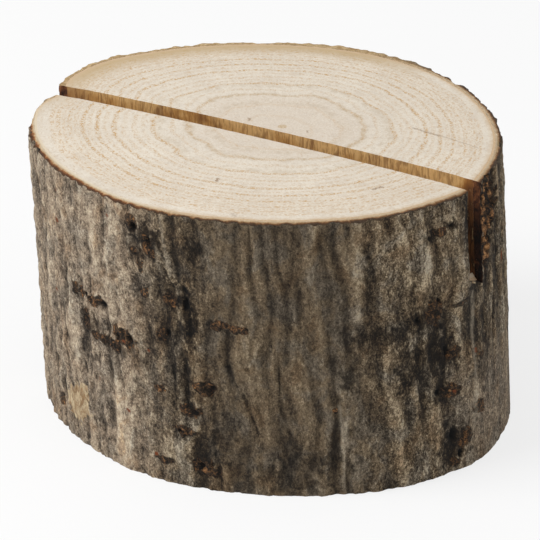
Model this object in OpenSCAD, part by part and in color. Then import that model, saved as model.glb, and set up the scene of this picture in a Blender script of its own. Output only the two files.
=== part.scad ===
// Place card holder: a short length of natural branch, sawn square at both ends,
// with one straight saw kerf across its top that holds a card upright.
// +Z is up, the card slot runs along X, and the origin is on the underside, below the slot.

/* [Branch] */
// Height of the block between its two sawn faces
block_h = 38; // [25:1:60]
// Mean diameter of the wood under the bark
wood_d = 57.4; // [35:0.1:90]
// How far the branch leans along the slot, from the top face to the underside
lean_along = 1.3; // [0:0.1:4]
// How far the branch leans across the slot, from the top face to the underside
lean_across = 1.4; // [0:0.1:4]

/* [Outline] */
// How much longer the outline is along the slot than its mean
oval_share = 0.045; // [0:0.005:0.1]
// How much one side is fuller than the other two
pear_share = 0.011; // [0:0.001:0.03]
// How much the outline is squared off
square_share = 0.011; // [0:0.001:0.03]

/* [Pith] */
// Diameter of the soft core of the branch
pith_d = 1.2; // [0.8:0.1:4]
// Distance of the core from the middle of the top face, along the slot
pith_along = 1.5; // [-4:0.1:4]
// Distance of the core from the middle of the top face, across the slot
pith_across = 1.6; // [0.5:0.1:6]

/* [Bark] */
// Thickness of the brown inner bark
inner_bark_t = 0.3; // [0.2:0.1:1]
// Mean thickness of the rough outer bark
outer_bark_t = 0.8; // [0.6:0.1:3]
// Height of the upright ridges above and below the mean
ridge_h = 0.28; // [0:0.02:0.3]
// Number of ridges around the branch
ridge_count = 44; // [12:1:44]
// Height of the knots and scabs above the bark
knot_h = 0.7; // [0:0.1:2]
// Radius of a knot of mean size
knot_r = 2.4; // [1.5:0.1:5]

/* [Card slot] */
// Width of the saw kerf
slot_w = 3; // [1:0.1:5]
// Depth of the saw kerf
slot_depth = 12.5; // [5:0.5:20]
// Distance of the kerf from the middle of the block
slot_offset = 2.6; // [0:0.1:6]
// Width of the worn patch of bark beside the kerf
tear_w = 1.3; // [0.5:0.1:3]
// Height of the worn patch of bark beside the kerf
tear_h = 5.5; // [1:0.5:10]

/* [Hidden] */

// Steps around the branch, four to a ridge, and up the bark
columns = 176;
levels = 16;
// Sides of the core
pith_sides = 24;
full_turn = 360;
// How far a cut runs past the face it goes through
overrun = 1;

// Directions in which the oval, the fuller side and the squared corners point
oval_turn = -4;
pear_turn = 70;
square_turn = -3.5;

// Swellings that run up the branch, and one flat side where the kerf comes out: the direction,
// then the half width and the height, both as a share of the mean radius
swell_shares = [
    [-7, 0.16, 0.023], [-30, 0.21, 0.014], [-95, 0.35, 0.016], [-130, 0.31, 0.012],
    [120, 0.79, 0.017], [-176, 0.16, -0.048]
];

// The ridges wander: how far they turn sideways, how often they do it, and how uneven they are
wander_turn = 2.2;
wander_waves = 1.6;
uneven_share = 0.45;
// A second set of broader plates lies under the ridges
plate_count = 11;
plate_share = 0.5;

// Knots: share of a full turn from the X axis, share of the height, share of the knot radius
knot_shares = [
    [0.629, 0.52, 0.9], [0.643, 0.47, 0.8], [0.672, 0.33, 0.9],
    [0.705, 0.29, 0.8], [0.738, 0.44, 1.2], [0.690, 0.08, 1.2],
    [0.662, 0.19, 0.9], [0.905, 0.52, 1.1], [0.932, 0.37, 1.1],
    [0.955, 0.17, 1.3], [0.160, 0.62, 1.2], [0.300, 0.30, 1.0],
    [0.425, 0.70, 1.1], [0.480, 0.25, 0.9]
];

// Share of the outer bark that is left in the middle of the worn patch
worn_share = 0.25;

wood_r = wood_d / 2;
bast_r = wood_r + inner_bark_t;
bark_r = bast_r + outer_bark_t;
pith_r = pith_d / 2;
slot_floor = block_h - slot_depth;

// Middle of the branch at a share of its height, which leans evenly about mid height
function middle(share) = [
    lean_along * (0.5 - share),
    slot_offset + lean_across * (0.5 - share)
];

// How far the swellings lift the outline in one direction, as a share of the mean radius
function swell(turn) =
    [for (s = swell_shares) s[2] * exp(-pow(2 * sin((turn - s[0]) / 2) / s[1], 2))]
    * [for (s = swell_shares) 1];

// Radius of the branch in one direction, as a share of its mean
function outline(turn) = 1 + swell(turn)
    + oval_share * cos(2 * (turn - oval_turn))
    + pear_share * cos(3 * (turn - pear_turn))
    + square_share * cos(4 * (turn - square_turn));

// A point on a layer whose mean radius is r, lifted off it by extra
function place(turn, share, r, extra) =
    let (reach = r * outline(turn) + extra, mid = middle(share))
    [mid[0] + reach * cos(turn), mid[1] + reach * sin(turn), share * block_h];

// One smooth ring of a layer
function ring(r, share) = [
    for (i = [0 : columns - 1]) place(full_turn * i / columns, share, r, 0)
];

// Ridges and plates of the bark, between about -1 and 1
function ridges(turn, share) =
    let (
        drift = wander_turn * sin(full_turn * wander_waves * share + turn * 3),
        rise = cos(ridge_count * (turn + drift)),
        fall = sin(full_turn * share * 2 + turn * 7),
        plate = cos(plate_count * (turn - drift) + full_turn * share)
    )
    (rise * (1 - uneven_share + uneven_share * fall) + plate_share * plate) / (1 + plate_share);

// Height of the knots at a point of the bark: round swellings that die away on all sides
function knots(turn, share) =
    max([
        for (k = knot_shares)
            let (
                across = sin(turn - full_turn * k[0]) * bark_r,
                behind = cos(turn - full_turn * k[0]) < 0,
                up = (share - k[1]) * block_h,
                near = (across * across + up * up) / pow(knot_r * k[2], 2)
            )
            behind ? 0 : knot_h * exp(-near)
    ]);

// Share of the outer bark that is left at a point: less beside the kerf's +X end, near the top
function left(turn, share) =
    let (
        across = (bark_r * sin(turn) + slot_offset - slot_w / 2 - tear_w / 2) / tear_w,
        down = (1 - share) * block_h / tear_h,
        worn = cos(turn) < 0 ? 0 : exp(-across * across - down * down)
    )
    1 - (1 - worn_share) * worn;

// One rough ring of the outer bark
function bark_ring(share) = [
    for (i = [0 : columns - 1])
        let (
            turn = full_turn * i / columns,
            relief = ridge_h * ridges(turn, share) + knots(turn, share)
        )
        place(turn, share, bast_r, left(turn, share) * (outer_bark_t + relief))
];

// Two triangles for each step around, between two rows of points in one list
function band(row, next) = [
    for (i = [0 : columns - 1])
        let (j = (i + 1) % columns)
        each [
            [row + i, next + i, next + j],
            [row + i, next + j, row + j]
        ]
];

// A closed tube: the outer rings from bottom to top, then the inner rings from top to bottom
module tube(rings) {
    count = len(rings);
    polyhedron(
        points = [for (r = rings) each r],
        faces = [for (k = [0 : count - 1]) each band(k * columns, ((k + 1) % count) * columns)]
    );
}

// A solid length of branch of mean radius r, from the underside to the top face
module trunk(r) {
    polyhedron(
        points = concat(ring(r, 0), ring(r, 1)),
        faces = concat(
            band(0, columns),
            [[for (i = [0 : columns - 1]) i]],
            [[for (i = [columns - 1 : -1 : 0]) columns + i]]
        )
    );
}

// The core: a thin leaning prism, drawn out past both ends by extra
module core(extra) {
    low = -extra / block_h;
    high = 1 + extra / block_h;
    points = [
        for (share = [low, high])
            let (mid = middle(share))
            for (i = [0 : pith_sides - 1])
                [
                    mid[0] + pith_along + pith_r * cos(full_turn * i / pith_sides),
                    mid[1] + pith_across + pith_r * sin(full_turn * i / pith_sides),
                    share * block_h
                ]
    ];
    sides = [
        for (i = [0 : pith_sides - 1])
            let (j = (i + 1) % pith_sides)
            [i, pith_sides + i, pith_sides + j, j]
    ];
    polyhedron(
        points = points,
        faces = concat(
            sides,
            [[for (i = [0 : pith_sides - 1]) i]],
            [[for (i = [pith_sides - 1 : -1 : 0]) pith_sides + i]]
        )
    );
}

// The saw kerf, right across the block and open at the top
module kerf() {
    length = 4 * bark_r;
    translate([-length / 2, -slot_w / 2, slot_floor])
        cube([length, slot_w, slot_depth + overrun]);
}

// The wood, with the core's hole and the kerf in it
module wood_block() {
    color("#e6d8bd")
        difference() {
            trunk(wood_r);
            core(overrun);
            kerf();
        }
}

// The soft core
module pith() {
    color("#b58f5e")
        core(0);
}

// The brown inner bark
module inner_bark() {
    color("#8a5a33")
        difference() {
            tube([ring(bast_r, 0), ring(bast_r, 1), ring(wood_r, 1), ring(wood_r, 0)]);
            kerf();
        }
}

// The rough grey outer bark
module outer_bark() {
    color("#7a7168")
        difference() {
            tube(concat(
                [for (k = [0 : levels]) bark_ring(k / levels)],
                [ring(bast_r, 1), ring(bast_r, 0)]
            ));
            kerf();
        }
}

wood_block();
pith();
inner_bark();
outer_bark();
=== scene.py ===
# %% [markdown]
# # A place card holder cut from a branch
#
# The real object is one short length of branch with its bark on. It is sawn square at both ends,
# and one saw cut across the top holds a card. Almost all of its character is in two surfaces:
# the pale sawn wood with its growth rings, and the rough grey bark with its ridges and scabs.
# This lesson builds both as real geometry first, and gives them procedural finishes after that.

# %% Load the frame
import math
import bpy
import numpy as np
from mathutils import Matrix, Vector, noise


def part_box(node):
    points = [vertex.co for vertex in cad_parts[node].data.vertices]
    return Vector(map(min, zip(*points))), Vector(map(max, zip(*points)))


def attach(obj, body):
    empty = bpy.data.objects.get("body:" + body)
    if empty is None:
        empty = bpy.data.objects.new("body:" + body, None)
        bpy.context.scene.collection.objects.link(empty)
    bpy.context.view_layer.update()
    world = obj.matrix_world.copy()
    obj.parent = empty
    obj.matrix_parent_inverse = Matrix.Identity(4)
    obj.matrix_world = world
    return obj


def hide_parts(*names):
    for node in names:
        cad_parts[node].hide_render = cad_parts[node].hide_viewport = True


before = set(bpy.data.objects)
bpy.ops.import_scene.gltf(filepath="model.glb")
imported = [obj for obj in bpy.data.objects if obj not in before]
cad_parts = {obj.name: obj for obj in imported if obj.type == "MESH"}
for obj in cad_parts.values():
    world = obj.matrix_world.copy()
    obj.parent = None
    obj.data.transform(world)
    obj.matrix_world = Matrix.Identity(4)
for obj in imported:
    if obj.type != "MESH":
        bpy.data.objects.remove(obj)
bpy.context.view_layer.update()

# %% [markdown]
# ## The camera
#
# The photograph looks down on the block by about 25 degrees, with the card slot running away to
# the left. Its upright edges hardly converge, so the lens is long and stands well back.

# %% Camera
MM = 0.001
CAMERA_TURN = math.radians(30.25)
CAMERA_TILT = math.radians(24.8)
CAMERA_DISTANCE = 680 * MM
CAMERA_AIM = Vector((-0.13, 2.03, 18.13)) * MM
LENS_LENGTH = 350.3
SENSOR_WIDTH = 36


def stand(name, data, target, turn, tilt, distance):
    """Puts a camera or a lamp at a distance from a target, in one direction, and aims it there."""
    away = Vector((
        math.sin(turn) * math.cos(tilt), -math.cos(turn) * math.cos(tilt), math.sin(tilt)
    ))
    thing = bpy.data.objects.new(name, data)
    bpy.context.collection.objects.link(thing)
    thing.location = target + away * distance
    thing.rotation_euler = (-away).to_track_quat("-Z", "Y").to_euler()
    return thing


camera_data = bpy.data.cameras.new("photo_camera")
camera_data.lens = LENS_LENGTH
camera_data.sensor_width = SENSOR_WIDTH
camera = stand("photo_camera", camera_data, CAMERA_AIM, CAMERA_TURN, CAMERA_TILT, CAMERA_DISTANCE)
bpy.context.scene.camera = camera
bpy.context.scene.view_settings.view_transform = "Standard"
print("The camera stands at", [round(v, 3) for v in camera.location])

# %% [markdown]
# ## Small helpers for working by hand
#
# Every modelling operator acts on what is selected. So each step starts by deselecting all,
# and then picks one piece, or the faces and edges of it that the step is about.

# %% Picking pieces and their parts
def pick(piece):
    """Makes one piece the only selected object."""
    bpy.ops.object.select_all(action="DESELECT")
    piece.select_set(True)
    bpy.context.view_layer.objects.active = piece


def edit(piece, kind):
    """Opens a piece in edit mode with nothing selected, to work on its edges or its faces."""
    pick(piece)
    bpy.ops.object.mode_set(mode="EDIT")
    bpy.ops.mesh.select_mode(type="VERT")
    bpy.ops.mesh.select_all(action="DESELECT")
    bpy.ops.mesh.select_mode(type=kind)


def choose_edges(piece, test):
    """In edit mode, selects the edges whose middle passes the test."""
    bpy.ops.object.mode_set(mode="OBJECT")
    corners = points_of(piece)
    for edge in piece.data.edges:
        edge.select = bool(test(corners[list(edge.vertices)].mean(0)))
    bpy.ops.object.mode_set(mode="EDIT")


def close_edit():
    """Turns all faces outwards and goes back to object mode."""
    bpy.ops.mesh.select_all(action="SELECT")
    bpy.ops.mesh.normals_make_consistent(inside=False)
    bpy.ops.object.mode_set(mode="OBJECT")


def read(items, name):
    """A place or a direction of each vertex or face, as rows of an array."""
    values = np.empty(len(items) * 3)
    items.foreach_get(name, values)
    return values.reshape(-1, 3)


def points_of(piece):
    """The places of the piece's vertices."""
    return read(piece.data.vertices, "co")


def move_points(piece, places):
    """Puts the piece's vertices at these places."""
    piece.data.vertices.foreach_set("co", places.ravel())
    piece.data.update()


def around(places, middle=(0, 0)):
    """How far places are turned round the Z axis or another middle, and how far away they are."""
    x, y = places[:, 0] - middle[0], places[:, 1] - middle[1]
    return np.arctan2(y, x), np.hypot(x, y)


def keep_value(piece, name, values, domain="POINT"):
    """Stores one number for each vertex or face, for a material to read."""
    attribute = piece.data.attributes.new(name, "FLOAT", domain)
    attribute.data.foreach_set("value", np.asarray(values, dtype=np.float32))


# %% [markdown]
# ## The shape of the branch
#
# The branch isn't a cylinder. Its outline is a slightly oval circle, and the whole length leans.
# The same few numbers shape every layer, so the layers always meet.

# %% Sizes of the branch
BLOCK_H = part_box("wood_block")[1][2]
LEAN_ALONG = 1.3 * MM
LEAN_ACROSS = 1.4 * MM
SLOT_OFFSET = 2.6 * MM
SLOT_W = 3 * MM
SLOT_DEPTH = 12.5 * MM
SLOT_FLOOR = BLOCK_H - SLOT_DEPTH
WOOD_R = 28.7 * MM
BAST_R = WOOD_R + 0.3 * MM
BARK_T = 0.8 * MM
BARK_R = BAST_R + BARK_T
OVAL_SHARE, OVAL_TURN = 0.045, math.radians(-4)
PEAR_SHARE, PEAR_TURN = 0.011, math.radians(70)
SQUARE_SHARE, SQUARE_TURN = 0.011, math.radians(-3.5)
PITH_ALONG = 1.5 * MM
PITH_ACROSS = 1.6 * MM
# Swellings and one flat side: the direction in degrees, then half width and height as shares
SWELL_SHARES = [
    (-7, 0.16, 0.023), (-30, 0.21, 0.014), (-95, 0.35, 0.016), (-130, 0.31, 0.012),
    (120, 0.79, 0.017), (-174, 0.126, -0.055), (163, 0.12, 0.013),
]


def swell(turn):
    """How far the swellings lift the outline, as a share of its mean radius."""
    return sum(
        height * np.exp(-(2 * np.sin((turn - math.radians(place)) / 2) / width) ** 2)
        for place, width, height in SWELL_SHARES
    )


def outline(turn):
    """Radius of the branch in one direction, as a share of its mean."""
    return (
        1 + swell(turn)
        + OVAL_SHARE * np.cos(2 * (turn - OVAL_TURN))
        + PEAR_SHARE * np.cos(3 * (turn - PEAR_TURN))
        + SQUARE_SHARE * np.cos(4 * (turn - SQUARE_TURN))
    )


def middle_of(height):
    """Where the middle of the branch is at each height."""
    lean = 0.5 - height / BLOCK_H
    return LEAN_ALONG * lean, SLOT_OFFSET + LEAN_ACROSS * lean


print("The block is", round(BLOCK_H / MM, 1), "mm high")

# %% [markdown]
# ## Noise that grows with the branch
#
# Bark is drawn out along the branch, so its noise is too: each field has one size across the
# grain and a larger one along it. It is read on a round cylinder, so it closes without a seam.

# %% Noise fields
# Each field: its size across and along the branch in millimetres, its octaves, and its own
# place in the noise, so that no two fields look alike
FIELDS = {
    "sway": (7, 8, 2, 3.1), "fold": (1.3, 14, 1, 11), "rib": (0.7, 4, 2, 29),
    "crease": (1.5, 9, 2, 23), "pebble": (1.2, 1.7, 2, 37), "grain": (0.45, 0.6, 2, 43),
    "ragged edge": (0.7, 0.9, 2, 51), "crack": (1.1, 1.3, 2, 81), "broken crack": (1.2, 2, 2, 91),
    "crest": (2.5, 3.5, 2, 83), "top rim": (1.1, 1, 3, 61), "base rim": (1.1, 1, 3, 71),
    "inner rim": (0.8, 1, 2, 67),
}


def fractal(points, octaves):
    """Smooth noise between about -1 and 1 at each point, in cells of size 1 and half as large."""
    return np.array([noise.fractal(Vector(point), 1.0, 2.0, octaves) for point in points])


def field(name, turns, heights):
    """The noise of one field on the unrolled branch."""
    across, along, octaves, place = FIELDS[name]
    x = BARK_R * np.cos(turns) / (across * MM) + place
    y = BARK_R * np.sin(turns) / (across * MM) - place
    z = heights / (along * MM) + 2 * place
    return fractal(zip(x, y, z), octaves)


def smooth(low, high, values):
    """Goes smoothly from 0 at low to 1 at high."""
    share = np.clip((values - low) / (high - low), 0, 1)
    return share * share * (3 - 2 * share)


print(len(FIELDS), "noise fields")

# %% [markdown]
# ## Marks on the bark
#
# The big marks are given one by one, as turns round the branch in degrees and heights in
# millimetres. Each has a half width and a half height, and a strength where that isn't 1.
# Scabs stand proud, pits are holes painted black as shade, soot only darkens, torn bark is rough
# and rusty, and a chip has lost its bark.

# %% Places of the marks
SCABS = [
    (-118.5, 22.4, 0.9, 1), (-115.6, 22.6, 0.9, 0.8, 0.8), (-111.1, 22, 1, 0.9),
    (-108.2, 22.7, 0.8, 0.8, 0.8), (-99.9, 18.9, 2.4, 1.4, 0.9), (-95.5, 35.3, 1.2, 1.3),
    (-94.8, 31.7, 0.6, 0.6, 0.8), (-92.6, 26.2, 0.9, 0.8, 0.9), (-85.2, 26, 1.2, 0.9),
    (-73, 23.4, 1.5, 0.8, 0.9), (-67.9, 23.1, 1.6, 0.6), (-77.1, 14.4, 1.5, 1.1),
    (-89.4, 13.3, 1.1, 0.6, 0.8), (-81.2, 11, 1.6, 1.1, 0.8), (-83, 8, 1.8, 0.8),
    (-89.4, 3.2, 1.6, 0.6, 0.8), (-77.9, 3.1, 2, 1.4), (-131.2, 4.2, 1.2, 0.9),
    (-16.9, 33.9, 1.2, 0.8), (-19.4, 23.1, 1.7, 1.9, 0.9), (-11.4, 23.2, 1.8, 0.5, 0.6),
    (-14, 16.6, 1.2, 1.1, 0.9), (-4.5, 14.4, 0.8, 0.7, 0.8), (-15.5, 11.5, 1.6, 1.2),
    (-6.4, 7.7, 1.4, 1.2, 0.9), (-11.7, 4.2, 1.3, 1.4), (-14.6, 1.4, 0.8, 0.6, 0.8),
    (-45.5, 11.9, 0.4, 0.35), (-114.6, 18.8, 1, 1.5), (-111.2, 17.2, 0.9, 0.7, 0.8),
    (-107.4, 17.3, 1.3, 0.7, 0.7), (-103.4, 17.2, 1.4, 1.1, 0.9), (-90.6, 32.6, 1.1, 1.5, 0.9),
    (-88, 21, 0.8, 1.2, 0.7), (-93, 29.8, 0.6, 0.9, 0.6),
]
SPECKS = [
    (-126.2, 34.6, 0.35, 0.35), (-126.7, 30.3, 0.4, 0.3), (-102.9, 35.5, 0.6, 0.2),
    (-129.6, 20.1, 0.5, 0.25), (-99.7, 18.4, 0.3, 0.3), (-92.4, 18.1, 0.25, 0.25),
    (-110.7, 11.1, 0.25, 0.25), (-99.8, 8.6, 0.45, 0.35), (-91.7, 3.7, 0.3, 0.25),
    (-6.7, 15.6, 0.35, 0.4), (-14.3, 11.3, 0.3, 0.3), (13, 24.3, 0.3, 0.9),
]
PITS = [
    (-114.9, 19, 0.4, 0.6), (-114.2, 22.4, 0.5, 0.6), (-107.1, 22.4, 0.6, 0.7),
    (-97.8, 18.8, 0.5, 0.6), (-102.5, 18.4, 0.5, 0.5), (-94.9, 35.1, 0.45, 0.6),
    (-90.4, 33.4, 0.4, 0.6), (-80.9, 25.6, 0.4, 1), (-86.3, 21.2, 0.4, 0.4),
    (-75.4, 14.2, 0.5, 0.6), (-80, 10.9, 0.5, 0.5), (-84.4, 7.9, 0.4, 0.4), (-79.1, 3.3, 0.5, 0.6),
    (-76.3, 3.6, 0.4, 0.5), (-20.1, 33.6, 0.4, 0.3), (-13.5, 34.4, 0.4, 0.25),
    (-23.9, 22.7, 0.4, 0.35), (-18, 24.6, 0.4, 0.4), (-19.1, 11.8, 0.4, 0.45),
    (-16.3, 17.1, 0.35, 0.8), (-15.2, 5.3, 0.4, 0.7), (-13.2, 2.3, 0.5, 0.7),
    (1.6, 35.9, 0.45, 0.8), (6.6, 33.1, 0.4, 0.8), (3.3, 29, 0.4, 0.7),
]
SOOT = [
    (-90, 33.6, 2.8, 2.4), (-86.9, 27.3, 2.2, 4, 0.7), (-78.5, 33.2, 1.6, 2.4, 0.9),
    (-80.5, 24.2, 1.5, 4.6), (-82.6, 14.2, 1.4, 7, 0.8), (-75.3, 32.2, 0.8, 4, 0.4),
    (-87.4, 20.3, 2.4, 3.4, 0.7), (-78.8, 5.1, 3.4, 3.4, 0.6), (-114.4, 19, 2, 1.8, 0.8),
    (-99.9, 18.7, 2.9, 2, 0.7), (-108.3, 17.6, 3.6, 0.8, 0.6), (-117, 13.8, 0.8, 3, 0.6),
    (-30.5, 21.7, 6.5, 1.4, 0.8), (-22.6, 16.2, 4.6, 3.6, 0.8), (-41.7, 16.1, 1.4, 2.4, 0.8),
    (-16.8, 17.3, 1.4, 3.4), (-18.2, 11.6, 2, 1.8, 0.9), (-50.1, 4.9, 5.6, 1.8, 0.7),
    (-60.6, 2.9, 3.6, 2, 0.6), (-56.1, 1.5, 5, 1.6, 0.6), (-15, 3.9, 2.6, 3.4),
    (-23.5, 22.7, 2, 1.8), (-19.9, 33.6, 1.4, 1, 0.9), (-13.5, 34.3, 1, 0.8, 0.9),
    (-35.7, 29.3, 0.9, 7, 0.6), (-32.4, 31.3, 0.8, 4, 0.4), (-4.2, 15.7, 3.4, 4.6, 0.6),
    (-9.7, 36.6, 1.6, 1.2, 0.5), (-140.1, 32, 3, 3, 0.5), (-130.2, 25.3, 1.2, 0.8, 0.5),
    (-121.1, 25.5, 1, 0.9, 0.5), (-128.7, 6.9, 0.9, 1, 0.6), (-95.1, 12.3, 1.6, 6, 0.4),
    (-91.3, 7.3, 2.4, 4, 0.4), (-70.5, 12, 1.6, 5, 0.4), (-52, 32.1, 0.5, 3, 0.3),
    (7.1, 27.3, 3.4, 9, 0.5), (4.8, 9.3, 3.4, 6, 0.3), (-84.5, 10, 2.6, 9, 0.45),
    (-63, 22, 2, 4, 0.3), (-104.5, 20, 2, 9, 0.25), (-36, 18.5, 1.6, 4.5, 0.4),
    (-46, 4.5, 2.4, 2.6, 0.35), (-94, 19.5, 1.6, 3, 0.4), (-3.5, 35, 0.9, 3, 0.4),
    # The first five marks from here on darken the bark round the scab cluster
    (-117, 22.5, 2, 1.6, 0.6), (-109.6, 22.2, 2.2, 1.5, 0.6), (-112.8, 18.2, 3.2, 2, 0.8),
    (-103.6, 17.4, 4, 1.8, 0.8), (-99.8, 19, 2.6, 1.8, 0.6), (-95, 32.4, 1.8, 2.8, 0.7),
    (-95.2, 16.4, 2.2, 2.4, 0.6), (-103.5, 26.5, 3, 4, 0.4), (-4, 11.8, 2.2, 2.4, 0.6),
]
TORN = [(2.2, 34.2, 3.4, 4.1), (0, 28.6, 1.5, 3.8)]
OCHRE = [
    (-121.9, 5.3, 2.9, 2.6), (-119.1, 7.4, 1.6, 1.3, 0.9), (-94.1, 29.4, 1.6, 1, 0.25),
    (-5.2, 25.3, 0.9, 0.7, 0.8), (-0.8, 37, 0.6, 0.7, 0.9), (-2.9, 22.5, 1, 1.2, 0.3),
]
CHIPS = [
    (121, 38, 1.6, 1.2, 0.4), (150, 38, 2, 1.2, 0.4), (-161, 38, 4, 2.4, 0.7),
    (-5.8, 25.2, 0.5, 0.5, 0.5), (-4.4, 24.9, 0.5, 0.5, 0.4), (62, 38, 1.2, 0.8, 0.7),
    (22, 38, 1.6, 0.9, 0.7),
]
MOUNDS = [
    (-86.3, 4.7, 1.8, 1.9), (-82.6, 23.9, 0.8, 1.5, 0.7), (-39, 24.8, 0.7, 1, 0.8),
    (-2.9, 22.2, 1, 1.2, 0.5), (-94.1, 29.4, 1.6, 1, 0.5), (-179, 36, 1.5, 3.4, 0.8),
    (92, 37.5, 9, 3, 1.4), (60, 37.5, 4, 3, 0.8),
]
print(len(SCABS), "scabs,", len(PITS), "pits and", len(SOOT), "sooty spots are placed by hand")

# %% [markdown]
# Cracks and crests are lines. Each has a half width in millimetres, a strength, and the turns
# and heights that it runs through.

# %% Lines in the bark
CRACKS = [
    (0.26, 0.7, [(-73, 19.4), (-70.3, 16.4), (-66.8, 13), (-64.6, 9.6), (-64, 7.8)]),
    (0.22, 0.6, [(-59.9, 21), (-58.5, 17.7), (-58.8, 12.9), (-56.6, 8.6)]),
    (0.2, 0.6, [(-55.4, 31.8), (-54.6, 27.1), (-54.7, 23.4)]),
    (0.2, 0.5, [(-43.6, 30.7), (-42.9, 25.4)]),
    (0.35, 0.7, [(-87.9, 37.6), (-87.1, 33.4), (-85.9, 29.8), (-84.3, 27.9)]),
    (0.5, 0.8, [(-81.4, 27.9), (-80.1, 24.8), (-80.9, 21.6)]),
    (0.3, 0.6, [(-81.3, 19.2), (-81.9, 14.2), (-82.3, 9.7)]),
    (0.3, 0.6, [(-86.1, 20.3), (-85.3, 15.2), (-85.7, 11.7)]),
    (0.5, 0.5, [(-118, 16.8), (-116.7, 14), (-116.6, 10.9)]),
    (0.4, 0.5, [(-138.2, 21.4), (-137.5, 19.4), (-138.1, 17.8)]),
    (0.22, 0.6, [(-32.8, 33.3), (-32.3, 31.9)]),
    (0.3, 0.5, [(-36.4, 37.6), (-35.7, 31.3), (-36.5, 26.9), (-38.2, 22.8)]),
    (0.25, 0.4, [(-25, 18.3), (-24, 11.2)]), (0.25, 0.5, [(-42.7, 14.6), (-42, 10.6), (-42.6, 3)]),
    (0.3, 0.5, [(-75.9, 8.6), (-75.1, 4.6), (-74.4, 0.8)]),
    (0.25, 0.5, [(-13.2, 21.4), (-16.7, 19.9), (-18.1, 21.7)]),
]
CRESTS = [
    (0.7, 1, [(-86.1, 37.6), (-85.4, 33.3), (-84.3, 29.6), (-83.2, 27.3)]),
    (0.6, 0.9, [(-83.6, 19.8), (-83.2, 15.2), (-83.8, 9.2)]),
    (0.7, 0.7, [(-78.7, 21.2), (-78.6, 15.1), (-79.2, 8.1)]),
    (0.5, 0.7, [(-58.8, 21), (-57.4, 17.7), (-57.7, 12.9), (-55.5, 8.6)]),
    (0.9, 1, [(-39.1, 37.6), (-38.7, 31.2), (-39.1, 24.6)]),
    (0.6, 0.8, [(-44, 14.6), (-43.2, 10.5), (-43.9, 4)]),
    (0.9, 1, [(-29.7, 12.2), (-29.2, 6.2), (-29.5, 1)]),
    (0.5, 0.9, [(-8.8, 17.1), (-7.3, 11.6), (-6.8, 6.6)]),
    (0.8, 0.7, [(-25.8, 13.2), (-25.5, 5.2)]), (0.8, 0.5, [(-65.2, 22.1), (-64.4, 14), (-62.4, 8)]),
    (0.8, 0.8, [(-37.2, 20.7), (-38.1, 15.2)]), (0.8, 0.8, [(-21.4, 34.3), (-20.9, 26.3)]),
    (0.8, 0.8, [(-27.1, 35.4), (-26.5, 28.3)]), (0.8, 0.6, [(-30.8, 37.4), (-30.7, 26.3)]),
    (0.8, 0.7, [(-73.4, 33.2), (-74.4, 27.2)]), (0.8, 0.6, [(-65.7, 34.2), (-65.3, 26.1)]),
    (0.8, 0.5, [(-48.6, 37.2), (-49, 30.1)]), (0.9, 0.42, [(-104.7, 31.5), (-105.2, 23.4)]),
    (0.9, 0.42, [(-110.8, 31.5), (-110.7, 25.4)]), (0.8, 0.36, [(-98.4, 32.5), (-98.1, 26.4)]),
    (0.8, 0.6, [(-96.1, 14.3), (-95.7, 6.3)]), (0.8, 0.6, [(-102.9, 12.3), (-103.4, 3.3)]),
]

# Thin pale lines of painted highlight along the lit edges of some ridges
PAINTED_RIDGE_HIGHLIGHTS = [
    (0.32, 0.7, [(-6.6, 23.6), (-7.5, 18), (-7.1, 12), (-8.5, 5)]),
    (0.18, 0.8, [(-44.3, 12.6), (-43.9, 7), (-44.3, 0.6)]),
    (0.2, 0.6, [(-86.7, 37.4), (-85.9, 33.4), (-84.9, 29.8)]),
]
print(len(CRACKS), "cracks,", len(CRESTS), "crests and", len(PAINTED_RIDGE_HIGHLIGHTS), "painted_highlights are drawn by hand")

# %% [markdown]
# The camera never sees the far side of the branch, so marks of the same kinds are scattered
# there with a seeded generator. The result is the same on every run.

# %% Marks on the far side
FAR_FROM, FAR_TO = 20, 205
FAR_SCABS, FAR_PITS, FAR_SOOT = 16, 12, 26
SMALL, LARGE = 0.6, 1.3
scatter = np.random.default_rng(7)


def scattered(count, half_width, half_height):
    """Places on the far side, with sizes and strengths that vary about these."""
    return [
        (
            scatter.uniform(FAR_FROM, FAR_TO),
            scatter.uniform(0.04, 0.96) * BLOCK_H / MM,
            half_width * scatter.uniform(SMALL, LARGE),
            half_height * scatter.uniform(SMALL, LARGE),
            scatter.uniform(0.5, 1.0),
        )
        for _ in range(count)
    ]


def strength_of(mark):
    """How strong a mark is."""
    return mark[4] if len(mark) > 4 else 1


def grains_of(mark):
    """Small grains that fill a scab."""
    turn, height, half_width, half_height = mark[:4]
    grains = []
    for _ in range(3 + round(2.2 * half_width * half_height)):
        angle, away = scatter.uniform(0, 2 * math.pi), math.sqrt(scatter.uniform(0, 0.7))
        across = half_width * away * math.cos(angle) * MM / BARK_R
        size = scatter.uniform(0.3, 0.55)
        grains.append((
            turn + math.degrees(across), height + half_height * away * math.sin(angle),
            size * scatter.uniform(0.9, 1.4), size, strength_of(mark) * scatter.uniform(0.6, 1.0),
        ))
    return grains


all_scabs = SCABS + scattered(FAR_SCABS, 1.5, 1.1)
all_grains = [grain for mark in all_scabs + TORN for grain in grains_of(mark)]
all_pits = PITS + scattered(FAR_PITS, 0.6, 0.9)
all_soot = SOOT + scattered(FAR_SOOT, 2.6, 3.6)
print("The far side adds", FAR_SCABS + FAR_PITS + FAR_SOOT, "marks")
print("The scabs hold", len(all_grains), "grains")

# %% [markdown]
# A mark is a soft oval and a line is a soft band. Noise makes their edges ragged, because a
# clean oval would look printed on.

# %% How strongly a mark covers each point
# Where marks and lines begin and where they are full, as shares of their half sizes
MARK_EDGE, LINE_EDGE = (1.3, 0.4), (1.3, 0.2)


def turned_from(turns, middle):
    """How far round the branch each turn is from a middle in degrees, up to half a turn."""
    return (turns - math.radians(middle) + math.pi) % (2 * math.pi) - math.pi


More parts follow.
